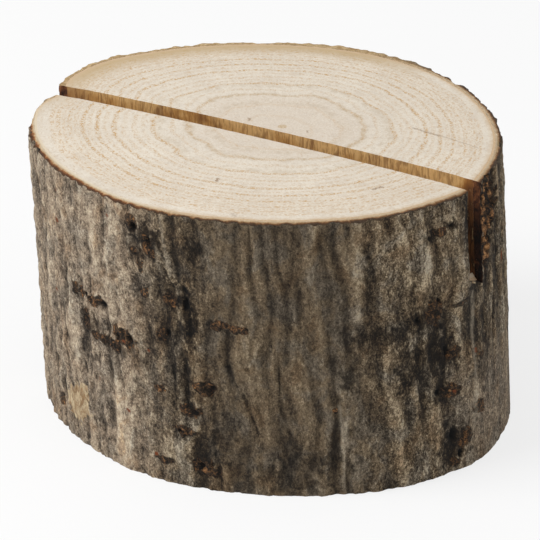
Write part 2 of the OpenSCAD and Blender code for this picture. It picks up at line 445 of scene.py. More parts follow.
def cover(turns, heights, mark, ragged):
    """1 in the middle of a mark and 0 outside it, with an uneven edge."""
    turn, height, half_width, half_height = mark[:4]
    across = turned_from(turns, turn) * BARK_R / (half_width * MM)
    along = (heights - height * MM) / (half_height * MM)
    return smooth(*MARK_EDGE, np.sqrt(across ** 2 + along ** 2) + ragged)


def cover_all(turns, heights, marks, ragged):
    """The strongest cover of any of the marks."""
    total = np.zeros(len(turns))
    for mark in marks:
        total = np.maximum(total, strength_of(mark) * cover(turns, heights, mark, ragged))
    return total


def along_lines(turns, heights, lines, ragged):
    """1 on a line and 0 beside it."""
    total = np.zeros(len(turns))
    for half_width, strength, path in lines:
        corners = [(math.radians(turn) * BARK_R, height * MM) for turn, height in path]
        for (x0, z0), (x1, z1) in zip(corners, corners[1:]):
            step_x, step_z = x1 - x0, z1 - z0
            share = (turns * BARK_R - x0) * step_x + (heights - z0) * step_z
            share = np.clip(share / (step_x ** 2 + step_z ** 2), 0, 1)
            away = np.hypot(turns * BARK_R - x0 - share * step_x, heights - z0 - share * step_z)
            near = smooth(*LINE_EDGE, away / (half_width * MM) + ragged)
            total = np.maximum(total, strength * near)
    return total


# %% [markdown]
# ## The outer bark: a turned blank
#
# The bark is a thin tube. It starts as a plane that stands on edge where the tube's wall will
# be. The plane's face goes first. Its long outer side then gets many cuts, and the outline is
# spun once round the branch. That gives even squares all over the outside, which is what a
# displaced surface needs, and only a few long faces inside, where nothing shows.
#
# The order matters: cutting a side while the face is still there would also draw new edges
# across the face, and the spin would turn each of them into a wall inside the bark.

# %% Spin the bark blank
BARK_STEPS = 744
BARK_LEVELS = 108
RIM_CUTS = 4
WELD = 0.005 * MM
HAIR = 0.01 * MM


def standing_outline(name, inner, outer):
    """Four edges in the XZ plane, from the inner radius to the outer one."""
    bpy.ops.object.select_all(action="DESELECT")
    bpy.ops.mesh.primitive_plane_add(size=1, location=((inner + outer) / 2, 0, BLOCK_H / 2))
    piece = bpy.context.active_object
    piece.name = piece.data.name = name
    piece.rotation_euler = (math.pi / 2, 0, 0)
    piece.scale = (outer - inner, BLOCK_H, 1)
    bpy.ops.object.transform_apply(location=True, rotation=True, scale=True)
    edit(piece, "EDGE")
    bpy.ops.mesh.select_all(action="SELECT")
    bpy.ops.mesh.delete(type="ONLY_FACE")
    return piece


def cut_edges(piece, test, cuts):
    """Divides the edges whose middle passes the test."""
    choose_edges(piece, test)
    bpy.ops.mesh.subdivide(number_cuts=cuts)


def spin_round(piece, steps):
    """Spins the outline once round the branch and closes it."""
    bpy.ops.mesh.select_all(action="SELECT")
    bpy.ops.mesh.spin(steps=steps, angle=2 * math.pi, center=(0, 0, 0), axis=(0, 0, 1))
    bpy.ops.mesh.select_all(action="SELECT")
    bpy.ops.mesh.remove_doubles(threshold=WELD)
    close_edit()


def enclosed(piece):
    """The volume inside a piece, and how many of its edges don't join two faces."""
    mesh = piece.data
    mesh.calc_loop_triangles()
    corners = np.empty(len(mesh.loop_triangles) * 3, dtype=np.int64)
    mesh.loop_triangles.foreach_get("vertices", corners)
    a, b, c = points_of(piece)[corners.reshape(-1, 3)].transpose(1, 0, 2)
    volume = np.einsum("ij,ij->", a, np.cross(b, c)) / 6
    joined = np.empty(len(mesh.loops), dtype=np.int64)
    mesh.loops.foreach_get("edge_index", joined)
    return volume, int((np.bincount(joined, minlength=len(mesh.edges)) != 2).sum())


bark = standing_outline("bark_shell", BAST_R, BARK_R)
cut_edges(bark, lambda p: p[0] > BARK_R - HAIR, BARK_LEVELS - 1)
cut_edges(bark, lambda p: BAST_R + HAIR < p[0] < BARK_R - HAIR, RIM_CUTS)
spin_round(bark, BARK_STEPS)
print("The bark blank: volume and open edges", enclosed(bark))

# %% [markdown]
# ## The outer bark: folds, scabs and pits
#
# Now the blank is shaped like clay. Soft folds run up the branch, as in hanging cloth, and
# small pebbles lie on them. The marks push the surface out or in. Only the wall's thickness
# changes: its inner side stays where the wood is. Both rims are worn a little round.

# %% Shape the bark
FOLD, CREASE, RIB = 0.36 * MM, 0.12 * MM, 0.11 * MM
PEBBLE, GRAIN = 0.12 * MM, 0.07 * MM
SWAY, WRIGGLE, RAGGED = 1.1 * MM, 0.32 * MM, 0.5
CREST_RISE, MOUND_RISE, GRAIN_RISE = 0.18 * MM, 0.26 * MM, 0.34 * MM
SCAB_SINK, CRACK_DEPTH = 0.08 * MM, 0.2 * MM
PIT_DEPTH, TORN_DEPTH = 0.45 * MM, 0.34 * MM
CHIPPED, THINNEST = 0.92, 0.12 * MM
RIM_DIP, RIM_REACH = 0.08 * MM, 1.3 * MM
TOP_WEAR, BASE_WEAR = 0.36 * MM, 0.08 * MM
# Sides of the branch that differ: the middle of each and its reach, in degrees
PEBBLED_SIDE, SMOOTH_SIDE = (-128, 46), (18, 40)
FAR_SIDE, WORN_SIDE = (92, 105), (-152, 30)
FAR_KEPT, MORE_WORN = 0.75, 1.4
SMOOTH_BELOW, ROUGH_ABOVE, SMOOTHED = 9 * MM, 19 * MM, 0.75
# How far inside its limits the bark begins to be held back
SOFT = 0.25 * MM


def ragged_edge(turns, heights):
    """Small noise that breaks up the outline of a mark."""
    return RAGGED * field("ragged edge", turns, heights)


def crack_lines(turns, heights, edge):
    """The cracks, wriggling and broken up."""
    wriggle = WRIGGLE * field("crack", turns, heights) / BARK_R
    broken = smooth(-0.5, 0.05, field("broken crack", turns, heights))
    return broken * along_lines(turns + wriggle, heights, CRACKS, 0.6 * edge)


def crest_lines(turns, heights, edge):
    """The crests, wriggling a little."""
    wriggle = 1.5 * WRIGGLE * field("crest", turns, heights) / BARK_R
    return along_lines(turns + wriggle, heights, CRESTS, 0.6 * edge)


def side_share(turns, side):
    """1 on one side of the branch, and 0 away from it."""
    middle, reach = side
    return smooth(1, 0.5, np.abs(turned_from(turns, middle)) / math.radians(reach))


def smooth_corner(turns, heights):
    """1 on the smooth pale stretch at the lower right, and 0 away from it."""
    return side_share(turns, SMOOTH_SIDE) * smooth(ROUGH_ABOVE, SMOOTH_BELOW, heights)


def bark_relief(turns, heights):
    """How far the bark stands above or below its mean thickness."""
    pebbled = side_share(turns, PEBBLED_SIDE)
    swayed = turns + SWAY * field("sway", turns, heights) / BARK_R
    fold, rib, crease, pebble = (
        field(name, swayed, heights) for name in ("fold", "rib", "crease", "pebble")
    )
    grain = field("grain", turns, heights)
    edge = ragged_edge(turns, heights)
    relief = FOLD * fold * (1 - 0.2 * pebbled)
    relief += CREASE * (2 * np.abs(crease) - 0.6) * (1 - 0.3 * pebbled)
    relief += RIB * rib + PEBBLE * pebble * (0.5 + 1.3 * pebbled) + GRAIN * grain
    relief *= 1 - SMOOTHED * smooth_corner(turns, heights)
    relief += CREST_RISE * crest_lines(turns, heights, edge)
    relief += MOUND_RISE * cover_all(turns, heights, MOUNDS, 0)
    relief -= SCAB_SINK * cover_all(turns, heights, all_scabs, edge)
    torn = cover_all(turns, heights, TORN, edge)
    relief += torn * (0.9 * TORN_DEPTH * pebble + TORN_DEPTH * grain - TORN_DEPTH)
    relief -= CRACK_DEPTH * crack_lines(turns, heights, edge)
    relief -= PIT_DEPTH * cover_all(turns, heights, all_pits, edge)
    return relief + GRAIN_RISE * cover_all(turns, heights, all_grains, 0.5 * edge)


def worn_rim(turns, wall, wear, name):
    """How far the sawn edge of the bark has worn away, most on its outer side."""
    uneven = 0.55 + 1.1 * field(name, turns, 0 * turns)
    by_side = 1 - FAR_KEPT * side_share(turns, FAR_SIDE) + MORE_WORN * side_share(turns, WORN_SIDE)
    return wear * by_side * np.clip(uneven, 0.1, 1) * wall ** 2


def held_between(values, low, high):
    """Presses values smoothly back inside their limits, and leaves the others alone."""
    over = np.maximum(values - (high - SOFT), 0)
    under = np.maximum(low + SOFT - values, 0)
    pressed = values - over + SOFT * (1 - np.exp(-over / SOFT))
    return pressed + under - SOFT * (1 - np.exp(-under / SOFT))


def spread(turns, reach, heights, pith_share=0):
    """Places round the leaning middle of the branch, or some share of the way to its pith."""
    middle_x, middle_y = middle_of(heights)
    return np.column_stack([
        middle_x + pith_share * PITH_ALONG + reach * np.cos(turns),
        middle_y + pith_share * PITH_ACROSS + reach * np.sin(turns),
        heights,
    ])


places = points_of(bark)
turns, away = around(places)
heights = places[:, 2].copy()
wall = (away - BAST_R) / BARK_T
outside = wall > 0.01
thickness = np.full(len(places), BARK_T)
thickness[outside] += bark_relief(turns[outside], heights[outside])
chipped = cover_all(turns, heights, CHIPS, 0.6 * ragged_edge(turns, heights))
thickness = np.maximum(thickness * (1 - CHIPPED * chipped), THINNEST)
reach = BAST_R * outline(turns) + wall * thickness
top_share = smooth(BLOCK_H - RIM_REACH, BLOCK_H, heights)
base_share = smooth(RIM_REACH, 0, heights)
heights -= top_share * (RIM_DIP + worn_rim(turns, wall, TOP_WEAR, "top rim"))
heights += base_share * worn_rim(turns, wall, BASE_WEAR, "base rim")
places = spread(turns, reach, heights)
low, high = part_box("outer_bark")
for axis in (0, 1):
    places[:, axis] = held_between(places[:, axis], low[axis], high[axis])
move_points(bark, places)
thinnest, thickest = (round(t / MM, 2) for t in (thickness.min(), thickness.max()))
print("Bark thickness runs from", thinnest, "to", thickest, "mm")

# %% [markdown]
# ## The wood: a turned block
#
# The wood is spun the same way. It has a small hole for the pith, and its points then slide so
# that every ring of the mesh is centred on the pith and grows out into the branch's outline,
# as the growth rings of the tree do.

# %% Spin the wood block
WOOD_STEPS = 288
WOOD_RINGS = 40
PITH_R = (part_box("pith")[1][0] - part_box("pith")[0][0] - LEAN_ALONG) / 2
# Where the worn edge of the top face begins and ends, as shares of the way out from the pith
EDGE_FROM, EDGE_TO = 0.90, 0.96

wood = standing_outline("sawn_wood", PITH_R, WOOD_R)
cut_edges(wood, lambda p: PITH_R + HAIR < p[0] < WOOD_R - HAIR, WOOD_RINGS - 1)
spin_round(wood, WOOD_STEPS)

places = points_of(wood)
turns, away = around(places)
share = (away - PITH_R) / (WOOD_R - PITH_R)
reach = (1 - share) * PITH_R + share * WOOD_R * outline(turns)
places = spread(turns, reach, places[:, 2], 1 - share)
at_top = places[:, 2] > BLOCK_H / 2
places[:, 2] -= at_top * RIM_DIP * smooth(EDGE_FROM, EDGE_TO, share)
move_points(wood, places)
print("The wood block: volume and open edges", enclosed(wood))

# %% [markdown]
# ## The inner bark: a thin ring
#
# Between wood and outer bark lies a brown layer only a third of a millimetre thick. It shows
# on the top face and in the mouths of the slot, so it has to be sawn with the rest.

# %% Spin the inner bark
BAST_STEPS = 496
BAST_LEVELS = 12

bast = standing_outline("inner_bark_ring", WOOD_R, BAST_R)
bast_middle = (WOOD_R + BAST_R) / 2
cut_edges(bast, lambda p: abs(p[0] - bast_middle) > HAIR, BAST_LEVELS - 1)
spin_round(bast, BAST_STEPS)

places = points_of(bast)
turns, away = around(places)
places = spread(turns, away * outline(turns), places[:, 2])
dip = RIM_DIP * (1.2 + 0.4 * field("inner rim", turns, 0 * turns))
places[:, 2] -= dip * smooth(BLOCK_H - RIM_REACH, BLOCK_H, places[:, 2])
move_points(bast, places)
print("The inner bark: volume and open edges", enclosed(bast))

# %% [markdown]
# ## The saw cut
#
# One blade cut wood and bark in one pass, so one cutter does it here too. It is a grid stood on
# edge and extruded to the width of the cut. The grid matters: a Boolean keeps the cutter's own
# faces as the walls of the cut, so the blade's slight wander and its tooth marks stay in them.

# %% Make the cutter
CUT_LENGTH = 80 * MM
CUT_CELLS_LONG = 200
CUT_CELLS_DEEP = 26
CUT_ABOVE = 1 * MM
BOW_MIDDLE = 0.4 * MM
BOW = 0.95 * MM
BOW_LENGTH = 30 * MM
BOW_LIMIT = 1.3
TOOTH = 0.05 * MM
TOOTH_SIZE = np.array([0.6, 1, 4]) * MM
MOUTH_DIP = 1.3 * MM
MOUTH_FROM, MOUTH_TO = 29.6 * MM, 31 * MM

bpy.ops.object.select_all(action="DESELECT")
bpy.ops.mesh.primitive_grid_add(
    x_subdivisions=CUT_CELLS_LONG, y_subdivisions=CUT_CELLS_DEEP, size=1, location=(0, 0, 0)
)
cutter = bpy.context.active_object
cutter.name = "saw_blade"
cutter.rotation_euler = (math.pi / 2, 0, 0)
cutter.scale = (CUT_LENGTH, SLOT_DEPTH + CUT_ABOVE, 1)
cutter.location = (0, -SLOT_W / 2, SLOT_FLOOR + (SLOT_DEPTH + CUT_ABOVE) / 2)
bpy.ops.object.transform_apply(location=True, rotation=True, scale=True)
edit(cutter, "FACE")
bpy.ops.mesh.select_all(action="SELECT")
bpy.ops.mesh.extrude_region_move(TRANSFORM_OT_translate={"value": (0, SLOT_W, 0)})
close_edit()

places = points_of(cutter)
teeth = fractal(places / TOOTH_SIZE, 2)
bow = np.minimum((places[:, 0] / BOW_LENGTH) ** 2, BOW_LIMIT)
dipped = (places[:, 2] < SLOT_FLOOR + HAIR) & (places[:, 1] > 0)
places[:, 2] -= MOUTH_DIP * dipped * smooth(MOUTH_FROM, MOUTH_TO, places[:, 0])
places[:, 1] += BOW_MIDDLE - BOW * bow + TOOTH * teeth
move_points(cutter, places)
print("The cutter: volume and open edges", enclosed(cutter))

# %% [markdown]
# Each piece is sawn by itself, and the cutter goes away when all are done.

# %% Cut the slot
def saw(piece):
    """Cuts the slot in a piece with the shared cutter."""
    pick(piece)
    cut = piece.modifiers.new("saw cut", "BOOLEAN")
    cut.operation = "DIFFERENCE"
    cut.solver = "EXACT"
    cut.object = cutter
    bpy.ops.object.modifier_apply(modifier=cut.name)


for piece in (wood, bast, bark):
    saw(piece)
    print(piece.name, "has", len(piece.data.polygons), "faces after the cut")
bpy.data.objects.remove(cutter, do_unlink=True)

# %% [markdown]
# ## Numbers for the finishes
#
# A material can't know where the pith is or which faces the saw made. So those facts are
# worked out once from each point's place, and kept on the mesh.

# %% Facts about the bark
FLUSH = 0.05 * MM
# How squarely a face looks along an axis if it belongs to the slot, or to a sawn end
SLOT_SQUARE, END_SQUARE = 0.85, 0.6
# The finish of the bark and the rims changes on these sides: their middles and reaches in degrees
SIDES = {"tan_side": (135, 72), "rusty": (-127, 48), "calm": (-57, 27), "crisp": (0, 52)}


def in_slot(piece):
    """True on the walls and the floor of the slot."""
    middles, normals = read(piece.data.polygons, "center"), read(piece.data.polygons, "normal")
    near = np.abs(middles[:, 1]) < SLOT_W / 2 + BOW
    above = middles[:, 2] > SLOT_FLOOR - MOUTH_DIP - FLUSH
    upright = np.abs(normals[:, 1]) > SLOT_SQUARE
    level = (normals[:, 2] > SLOT_SQUARE) & (middles[:, 2] < SLOT_FLOOR + FLUSH)
    return near & above & (upright | level)


def on_ends(piece):
    """True on the sawn faces at the top and the underside."""
    heights = read(piece.data.polygons, "center")[:, 2]
    level = np.abs(read(piece.data.polygons, "normal")[:, 2]) > END_SQUARE
    return level & ((heights < BASE_WEAR) | (heights > BLOCK_H - TOP_WEAR - 2 * RIM_DIP))


places = points_of(bark)
heights = places[:, 2]
turns, away = around(places, middle_of(heights))
edge = ragged_edge(turns, heights)
mounds = cover_all(turns, heights, MOUNDS, 0)
pits = cover_all(turns, heights, all_pits, edge)
height_above_bast = away - BAST_R * outline(turns)
facts = {
    # The finish paints high relief paler, partly as painted highlight, and low relief darker as painted
    # shade
    "relief": (height_above_bast - BARK_T) / MM,
    "depth": np.clip(height_above_bast / BARK_T, 0, 1.5),
    # Lines of painted highlight along ridges
    "painted_ridge_highlight": along_lines(turns, heights, PAINTED_RIDGE_HIGHLIGHTS, 0.8 * edge),
    # Pits and cracks, which the finish paints dark as shade
    "pit": np.maximum(pits, 0.9 * crack_lines(turns, heights, edge)),
    # The finish paints crests and mounds a little paler, as painted highlight
    "crest": np.maximum(crest_lines(turns, heights, edge), mounds),
    "pale": np.maximum(side_share(turns, PEBBLED_SIDE), 0.6 * smooth_corner(turns, heights)),
}
for name, marks, ragged in (
    ("scab", all_scabs, 1), ("grain", all_grains, 0.5), ("speck", SPECKS, 0), ("torn", TORN, 1),
    ("soot", all_soot, 1.5), ("ochre", OCHRE, 1), ("chip", CHIPS, 0.6),
):
    facts[name] = cover_all(turns, heights, marks, ragged * edge)
for name, side in SIDES.items():
    facts[name] = side_share(turns, side)
for name, values in facts.items():
    keep_value(bark, name, values)
keep_value(bark, "sawn", on_ends(bark), "FACE")
keep_value(bark, "kerf", in_slot(bark), "FACE")
keep_value(bast, "kerf", in_slot(bast), "FACE")
bast_turns, _ = around(points_of(bast), (0, SLOT_OFFSET))
keep_value(bast, "creamy", side_share(bast_turns, SIDES["rusty"]))
print("The bark carries", len(facts) + 2, "facts; volume and open edges", enclosed(bark))

# %% [markdown]
# The wood has to know its growth rings. They are round at the pith and take on the outline of
# the branch further out, so a ring's number is the share of the way from the pith to the edge.

# %% Facts about the wood
RIM_STEPS = 720
RAY_R = 20 * MM
STAIN_FROM, STAIN_TO = 0.84, 1.02
RIM_FROM, RIM_TO, CREAMY_SHARE = 0.97, 1.0, 0.8

places = points_of(wood)
middle_x, middle_y = middle_of(places[:, 2])
angle, pith_away = around(places, (middle_x + PITH_ALONG, middle_y + PITH_ACROSS))
rim_turns = np.linspace(-math.pi, math.pi, RIM_STEPS + 1)[:-1]
rim_reach = WOOD_R * outline(rim_turns)
rim = np.column_stack([rim_reach * np.cos(rim_turns), rim_reach * np.sin(rim_turns)])
rim_angle, rim_away = around(rim, (PITH_ALONG, PITH_ACROSS))
ring_share = pith_away / np.interp(angle, rim_angle, rim_away, period=2 * math.pi)
keep_value(wood, "ring", ring_share)
polar = wood.data.attributes.new("polar", "FLOAT_VECTOR", "POINT")
polar.data.foreach_set("vector", np.column_stack([
    RAY_R * np.cos(angle), RAY_R * np.sin(angle), pith_away
]).astype(np.float32).ravel())
stained = side_share(angle, SIDES["tan_side"]) * smooth(STAIN_FROM, STAIN_TO, ring_share)
keep_value(wood, "stain", stained)
dark_rim = 1 - CREAMY_SHARE * side_share(angle, SIDES["rusty"])
keep_value(wood, "rim", smooth(RIM_FROM, RIM_TO, ring_share) * dark_rim)
keep_value(wood, "wall", in_slot(wood), "FACE")
print("Growth rings run from", round(ring_share.min(), 3), "to", round(ring_share.max(), 3))

# %% [markdown]
# ## Nodes in a few words
#
# A material here is a short mix of nodes. These helpers add one node each and join it up. Where
# a helper takes a value, a word in quotes stands for a fact kept on the mesh, and a colour is
# written as a picture shows it, from 0 to 255.

# %% Material helpers
def seen(red, green, blue):
    """A colour as a picture shows it, turned into the light that a shader works with."""
    light = [
        v / 255 / 12.92 if v <= 10.31 else ((v / 255 + 0.055) / 1.055) ** 2.4
        for v in (red, green, blue)
    ]
    return (*light, 1)


class Mix:
    """The nodes of one material, or of the world."""

    def __init__(self, owner):
        self.owner = owner
        owner.use_nodes = True
        self.nodes = owner.node_tree.nodes

    def put(self, socket, value):
        """Links a socket to another one or to a number kept on the mesh, or sets its value."""
        if isinstance(value, str):
            value = self.fact(value)
        if isinstance(value, bpy.types.NodeSocket):
            self.owner.node_tree.links.new(value, socket)
        elif socket.type == "RGBA":
            socket.default_value = seen(*value)
        else:
            socket.default_value = value

    def add(self, kind, inputs, **settings):
        """A new node with these settings and these values or links in its inputs."""
        node = self.nodes.new(kind)
        for name, value in settings.items():
            setattr(node, name, value)
        for name, value in inputs.items():
            self.put(node.inputs[name], value)
        return node

    def coordinates(self):
        return self.add("ShaderNodeTexCoord", {}).outputs["Object"]

    def axis(self, name):
        """The coordinate X, Y or Z."""
        return self.add("ShaderNodeSeparateXYZ", {0: self.coordinates()}).outputs[name]

    def fact(self, name, kind="Fac"):
        """A number or a vector kept on the mesh."""
        return self.add("ShaderNodeAttribute", {}, attribute_name=name).outputs[kind]

    def noise(self, size, detail, roughness, distortion=0, vector=None):
        """Noise whose cells have this size, in millimetres along X, Y and Z."""
        cells = self.add("ShaderNodeMapping", {
            "Vector": vector or self.coordinates(), "Scale": [1 / (side * MM) for side in size],
        })
        return self.add("ShaderNodeTexNoise", {
            "Vector": cells.outputs["Vector"], "Scale": 1, "Detail": detail,
            "Roughness": roughness, "Distortion": distortion,
        }).outputs["Fac"]

    def maths(self, operation, *values):
        """One step of arithmetic."""
        node = self.add("ShaderNodeMath", dict(enumerate(values)), operation=operation)
        return node.outputs["Value"]

    def times(self, first, second):
        return self.maths("MULTIPLY", first, second)

    def less(self, first, second):
        return self.maths("SUBTRACT", first, second)

    def apart(self, first, second):
        return self.maths("ABSOLUTE", self.less(first, second))

    def total(self, *parts):
        """Adds up pairs of a value and its weight."""
        result = 0
        for value, weight in parts:
            result = self.maths("MULTIPLY_ADD", value, weight, result)
        return result

    def between(self, value, low, high, new_low=0, new_high=1, how="SMOOTHSTEP"):
        """Turns the range low to high into new_low to new_high, and holds it there."""
        return self.add("ShaderNodeMapRange", {
            "Value": value, "From Min": low, "From Max": high, "To Min": new_low,
            "To Max": new_high,
        }, interpolation_type=how).outputs["Result"]

    def choose(self, share, value, other):
        """One number at share 0 and the other at share 1."""
        inputs = {0: share, 2: value, 3: other}
        return self.add("ShaderNodeMix", inputs, data_type="FLOAT").outputs[0]

    def blend(self, share, first, second, how="MIX"):
        """One colour at share 0 and the other at share 1."""
        inputs = {0: share, 6: first, 7: second}
        return self.add("ShaderNodeMix", inputs, data_type="RGBA", blend_type=how).outputs[2]

    def coats(self, colour, *coats):
        """Lays coats on a colour. Each is its share and its colour, and how to blend it."""
        for share, *coat in coats:
            colour = self.blend(share, colour, *coat)
        return colour

    def ramp(self, share, *stops):
        """Colours along a line. Each stop is its place and its red, green and blue."""
        node = self.add("ShaderNodeValToRGB", {"Fac": share})
        marks = node.color_ramp.elements
        for mark, (place, *colour) in zip((marks[0], marks[1]), (stops[0], stops[-1])):
            mark.position = place
            mark.color = seen(*colour)
        for place, *colour in stops[1:-1]:
            marks.new(place).color = seen(*colour)
        return node.outputs["Color"]

    def vectors(self, operation, inputs):
        """One step of arithmetic on vectors."""
        return self.add("ShaderNodeVectorMath", inputs, operation=operation).outputs

    def stroke(self, start, end, half_width):
        """1 on a short straight line drawn on the top face, and 0 beside it."""
        start, end = Vector((*start, 0)) * MM, Vector((*end, 0)) * MM
        path = end - start
        flat = self.vectors("MULTIPLY_ADD", {0: self.coordinates(), 1: (1, 1, 0), 2: -start})[0]
        along = self.vectors("DOT_PRODUCT", {0: flat, 1: path / path.length_squared})["Value"]
        share = self.add("ShaderNodeClamp", {0: along}).outputs[0]
        foot = self.vectors("SCALE", {0: path, "Scale": share})[0]
        away = self.vectors("DISTANCE", {0: flat, 1: foot})["Value"]
        wobble = self.noise((0.35, 0.35, 1), 2, 0.6)
        reach = self.times(away, self.between(wobble, 0.35, 0.65, 0.7, 2.2))
        return self.between(reach, 1.2 * half_width * MM, 0.4 * half_width * MM)

    def finish(self, colour, roughness, height, distance, strength):
        """Gives the shader its colour and roughness, and fine bumps from a height field."""
        shader = self.nodes["Principled BSDF"].inputs
        bump = {"Height": height, "Distance": distance, "Strength": strength}
        self.put(shader["Normal"], self.add("ShaderNodeBump", bump).outputs["Normal"])
        self.put(shader["Base Color"], colour)
        self.put(shader["Roughness"], roughness)
        self.put(shader["Specular IOR Level"], 0.3)
        return self.owner


# %% [markdown]
# ## The finish of the bark
#
# Seen close, bark is a felt of tiny grains, light and dark side by side. Crests are paler, partly
# in their own colour and partly as painted highlight, hollows are darkened with painted shade, and
# the marks lay soot, rust and ochre on top.

# %% Bark material
def threads(mix, size, width):
    """Thin curling lines, 1 on a line and 0 beside it."""
    waves = mix.noise((size, size, 1.5 * size), 2, 0.5, 1.5)
    return mix.between(mix.apart(waves, 0.5), 0, width, 1, 0)


def scab_crust(mix, size, lift):
    """Knobbly dead bark: mostly black and brown, with small tan and orange glints."""
    lumps = mix.noise((size, size, size), 3, 0.7, 0.9)
    return mix.ramp(
        mix.total((lumps, 1), ("grain", lift)),
        (0.42, 9, 7, 5), (0.52, 40, 30, 21), (0.60, 80, 58, 38), (0.69, 136, 94, 58),
        (0.84, 206, 156, 104),
    )


def kerf_bark_painted_shade(mix):
    """Bark and inner bark in the walls of the cut: their own browns, with painted shade that darkens them
    towards the floor of the cut.
    """
    smear = mix.noise((1.2, 1.2, 2.2), 3, 0.65, 0.8)
    # Painted shade: darker towards the floor of the narrow cut
    low = mix.between(mix.axis("Z"), BLOCK_H - 2 * MM, SLOT_FLOOR + 4 * MM, 0.04, -0.14)
    return mix.ramp(
        mix.total((smear, 1), (low, 1)),
        (0.32, 20, 10, 6), (0.46, 58, 32, 18), (0.58, 98, 58, 33), (0.74, 150, 98, 58),
    )


def sawn_bark(mix, mottle, streak):
    """The cut edge of the bark, from the pale inner side out: brown, rusty or tan by the side."""
    across = mix.total(("depth", 1), (mix.less(mottle, 0.5), 0.8))
    brown = mix.ramp(
        across, (0.1, 210, 188, 156), (0.4, 188, 156, 118), (0.58, 136, 98, 64),
        (0.74, 92, 66, 44), (0.95, 70, 54, 40),
    )
    rust = mix.ramp(
        across, (0.1, 218, 200, 172), (0.32, 204, 170, 128), (0.5, 152, 98, 58),
        (0.7, 104, 64, 38), (1, 76, 54, 38),
    )
    rusty = mix.times("rusty", mix.between(mottle, 0.34, 0.54, 0.3, 1))
    tan = mix.blend(mix.between(streak, 0.35, 0.65), (178, 146, 102), (208, 180, 136))
    return mix.coats(brown, (rusty, rust), ("tan_side", tan))


def bark_finish():
    mix = Mix(bpy.data.materials.new("weathered_bark"))
    felt = mix.noise((0.38, 0.38, 0.55), 3, 0.68, 0.7)
    grit = mix.noise((0.2, 0.2, 0.24), 2, 0.7)
    mottle = mix.noise((0.9, 0.9, 1.5), 4, 0.62, 0.8)
    streak = mix.noise((0.8, 0.8, 6), 3, 0.55, 0.3)
    cloud = mix.noise((5, 5, 7), 3, 0.6, 0.8)
    warmth = mix.noise((3.1, 3.4, 4.5), 3, 0.6, 0.5)
    hair = threads(mix, 0.8, 0.05)
    relief = mix.fact("relief")
    # The lightness of the colour: felt and noise, and also relief and crests, which make ridges paler,
    # partly as their own colour and partly as painted highlight
    light = mix.total(
        (felt, 1.15), (grit, 0.85), (mottle, 0.5), (streak, 0.3), (cloud, 0.25), (relief, 0.8),
        (hair, 0.16), ("crest", 0.07),
    )
    light = mix.between(light, 1.13, 2.04, how="LINEAR")
    for side, contrast, shift in (("calm", 0.6, 0.19), ("crisp", 1.12, -0.055)):
        changed = mix.total((light, contrast), (side, shift))
        light = mix.choose(side, light, changed)
    brown = mix.ramp(light, (0, 18, 14, 10), (0.3, 68, 56, 42), (0.6, 124, 107, 84), (1, 206, 187, 156))
    grey = mix.ramp(light, (0, 46, 38, 30), (0.3, 122, 106, 89), (0.6, 176, 157, 134), (1, 230, 213, 185))
    cool = mix.ramp(light, (0, 14, 12, 11), (0.3, 58, 54, 48), (0.6, 112, 107, 98), (1, 190, 184, 170))
    soot = mix.total(("soot", 1.2), (felt, -0.8), (mottle, -0.8))
    ochre = mix.total(("ochre", 1), (mottle, 0.8))
    clay = mix.blend(mix.between(mottle, 0.35, 0.65), (150, 120, 86), (208, 188, 154))
    clay = mix.blend(mix.between(felt, 0.5, 0.3, 0, 0.6), clay, (92, 68, 44))
    bare = mix.blend(mix.between(streak, 0.4, 0.6), (150, 112, 70), (206, 178, 134))
    scab = mix.total(("scab", 1), (mottle, 0.7), ("grain", 0.6))
    torn = mix.total(("torn", 1), (mottle, 0.5))
    painted_ridge_highlight = mix.times("painted_ridge_highlight", mix.between(felt, 0.35, 0.6, 0.3, 0.8))
    pit = mix.total(("pit", 1), (felt, -0.7), (mottle, -0.5))
    colour = mix.coats(
        mix.blend("pale", brown, grey),
        (mix.between(warmth, 0.46, 0.62, 0, 0.45), cool),
        (mix.between(warmth, 0.44, 0.34, 0, 0.35), (142, 116, 82), "OVERLAY"),
        # Painted shade: hollows below the mean bark go dark
        (mix.between(relief, 0.02, -0.42, 0, 0.8), (30, 24, 18)),
        (mix.between(soot, -0.8, 0.5, 0, 0.98), (88, 80, 71), "MULTIPLY"),
        (mix.between(ochre, 0.62, 0.95), clay),
        (mix.between("chip", 0.35, 0.6), bare),
        (mix.between(scab, 0.62, 0.98, 0, 0.95), scab_crust(mix, 0.5, 0.07)),
        (mix.between(torn, 0.5, 0.8), scab_crust(mix, 0.42, 0.25)),
        (mix.between("speck", 0.2, 0.7), (116, 64, 38)),
        # Painted highlight: thin pale lines along the lit edges of some ridges
        (painted_ridge_highlight, (186, 172, 150)),
        # Painted shade: pits and cracks go almost black
        (mix.between(pit, -0.4, 0.3, 0, 0.97), (62, 54, 46), "MULTIPLY"),
        ("sawn", sawn_bark(mix, mottle, streak)),
        # The walls of the cut, with painted shade
        ("kerf", kerf_bark_painted_shade(mix)),
    )
    bumps = mix.total((felt, 1), (grit, 0.5), (mottle, 0.8), (hair, 0.15))
    return mix.finish(colour, 0.95, bumps, 0.36 * MM, 0.85)


# %% [markdown]
# ## The finish of the sawn wood
#
# On the top face the tree's years show as thin broken lines of tan pores. Their places come
# from the ring number kept on the mesh, bent a little by noise. The rim is stained tan by the
# bark, and the slot's walls go from gold near the top to dark brown in the depth: painted shade
# in the narrow cut.

# %% Wood material
# Each growth ring: its place between the pith and the edge, and how strong it looks
RINGS = [
    (0.14, 0.25), (0.27, 0.4), (0.385, 0.7), (0.45, 0.4), (0.525, 0.9), (0.565, 0.3), (0.6, 0.5),
    (0.642, 0.35), (0.68, 1), (0.718, 0.4), (0.755, 0.9), (0.787, 0.35), (0.815, 0.9),
    (0.843, 0.45), (0.87, 0.65), (0.895, 0.4), (0.918, 0.6), (0.942, 0.5),
]
